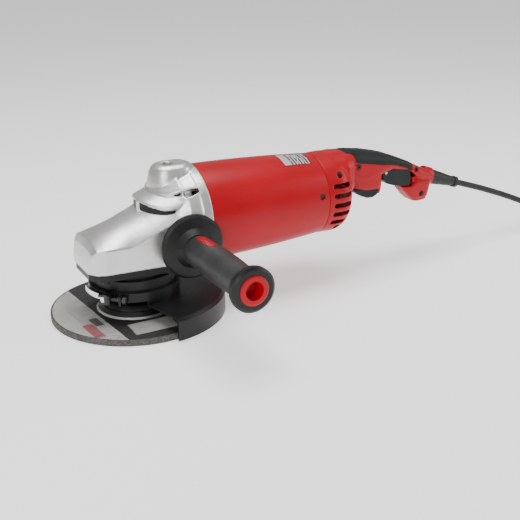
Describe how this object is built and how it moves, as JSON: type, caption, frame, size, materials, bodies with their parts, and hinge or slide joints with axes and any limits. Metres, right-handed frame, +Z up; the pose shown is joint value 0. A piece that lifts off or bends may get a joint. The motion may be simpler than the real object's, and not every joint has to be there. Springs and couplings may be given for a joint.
{
  "type": "angle grinder",
  "caption": "Large corded angle grinder: bevel gearbox, turning half guard, depressed-centre wheel, screwed-in side handle and rear trigger handle.",
  "frame": {"origin": "on the spindle axis, at the spindle's free threaded end below the clamp nut", "axes": "+Z up along the spindle, +X along the motor towards the rear handle, side handle towards -Y"},
  "size_m": [0.8095, 0.2856, 0.155],
  "materials": {
    "cast_alloy": "shot-blasted, silver painted",
    "black_cap": "satin",
    "dark_screw": "black oxide",
    "bearing_steel": "ground",
    "bronze": "machined",
    "red_plastic": "fine satin",
    "lamination": "stacked laminations",
    "copper": "enamelled",
    "black_plastic": "satin",
    "brass": "drawn",
    "carbon": "matte",
    "label_silver": "printed label",
    "grip_rubber": "matte, textured",
    "cord_rubber": "matte",
    "grey_rubber": "satin",
    "steel": "turned",
    "dark_steel": "phosphated",
    "abrasive": "bonded grain",
    "label_paper": "printed paper",
    "guard_paint": "satin",
    "bright_steel": "zinc plated",
    "trigger_plastic": "satin"
  },
  "bodies": {
    "housing": {"gear_case": "cast_alloy", "bearing_cap": "black_cap", "cap_screws": "dark_screw", "case_screws": "dark_screw", "spindle_bearing_outer": "bearing_steel", "spindle_top_bush": "bronze", "armature_bearing_outers": "bearing_steel", "motor_housing": "red_plastic", "stator_core": "lamination", "field_coils": "copper", "fan_baffle": "black_plastic", "brush_ring": "black_plastic", "brush_holders": "brass", "carbon_brushes": "carbon", "nameplate": "label_silver", "handle_left": "red_plastic", "handle_right": "red_plastic", "handle_grip": "grip_rubber", "handle_bumper": "grip_rubber", "handle_screws": "dark_screw", "trigger_pin": "steel", "switch_body": "black_plastic", "trigger_spring": "steel", "cord_clamp": "black_plastic", "inner_lead": "cord_rubber", "side_handle_stud": "steel", "side_handle_core": "black_plastic", "side_handle_grip": "grey_rubber", "side_handle_inlays": "red_plastic", "side_handle_cap": "red_plastic", "strain_relief": "cord_rubber", "power_cord": "cord_rubber", "cord_coil": "cord_rubber", "cord_tail": "cord_rubber", "plug_body": "cord_rubber", "plug_blades": "brass"},
    "spindle": {"spindle": "steel", "bevel_gear": "steel", "gear_retaining_ring": "steel", "spindle_bearing_inner": "bearing_steel", "spindle_bearing_balls": "bearing_steel", "inner_flange": "dark_steel", "grinding_wheel": "abrasive", "wheel_label": "label_paper", "clamp_nut": "dark_steel"},
    "armature": {"armature_shaft": "steel", "armature_core": "lamination", "armature_windings": "copper", "commutator": "copper", "cooling_fan": "black_plastic", "pinion": "steel", "armature_bearing_inners": "bearing_steel", "armature_bearing_balls": "bearing_steel"},
    "guard": {"guard_shell": "guard_paint", "guard_band": "guard_paint", "clamp_screw": "dark_steel", "lever_pin": "steel"},
    "guard_lever": {"guard_lever": "bright_steel"},
    "lock_button": {"lock_button": "black_plastic"},
    "trigger": {"trigger": "trigger_plastic"}
  },
  "joints": [
    {"name": "wheel_spin", "type": "hinge", "parent": "housing", "child": "spindle", "pos_m": [0, 0, 0], "axis": [0, 0, 1], "continuous": true},
    {"name": "armature_spin", "type": "hinge", "parent": "housing", "child": "armature", "pos_m": [0.1, 0, 0.0964], "axis": [1, 0, 0], "continuous": true},
    {"name": "guard_turn", "type": "hinge", "parent": "housing", "child": "guard", "pos_m": [0, 0, 0], "axis": [0, 0, 1], "range_deg": [-100, 100]},
    {"name": "guard_lever_swing", "type": "hinge", "parent": "guard", "child": "guard_lever", "pos_m": [-0.04427, -0.02986, 0.03275], "axis": [0, 0, 1], "range_deg": [0, 100]},
    {"name": "lock_press", "type": "slide", "parent": "housing", "child": "lock_button", "axis": [0, -1, 0], "range_m": [0, 0.0045], "stiffness_N_per_m": 800, "springref_m": -0.003},
    {"name": "trigger_squeeze", "type": "hinge", "parent": "housing", "child": "trigger", "pos_m": [0.3076, 0, 0.1102], "axis": [0, -1, 0], "range_deg": [0, 5.5], "stiffness_Nm_per_rad": 1.5, "springref_deg": -8.59, "deforming": ["trigger_spring"]}
  ],
  "couplings": [
    {"joint": "armature_spin", "follows": "wheel_spin", "ratio": 3.4545}
  ]
}
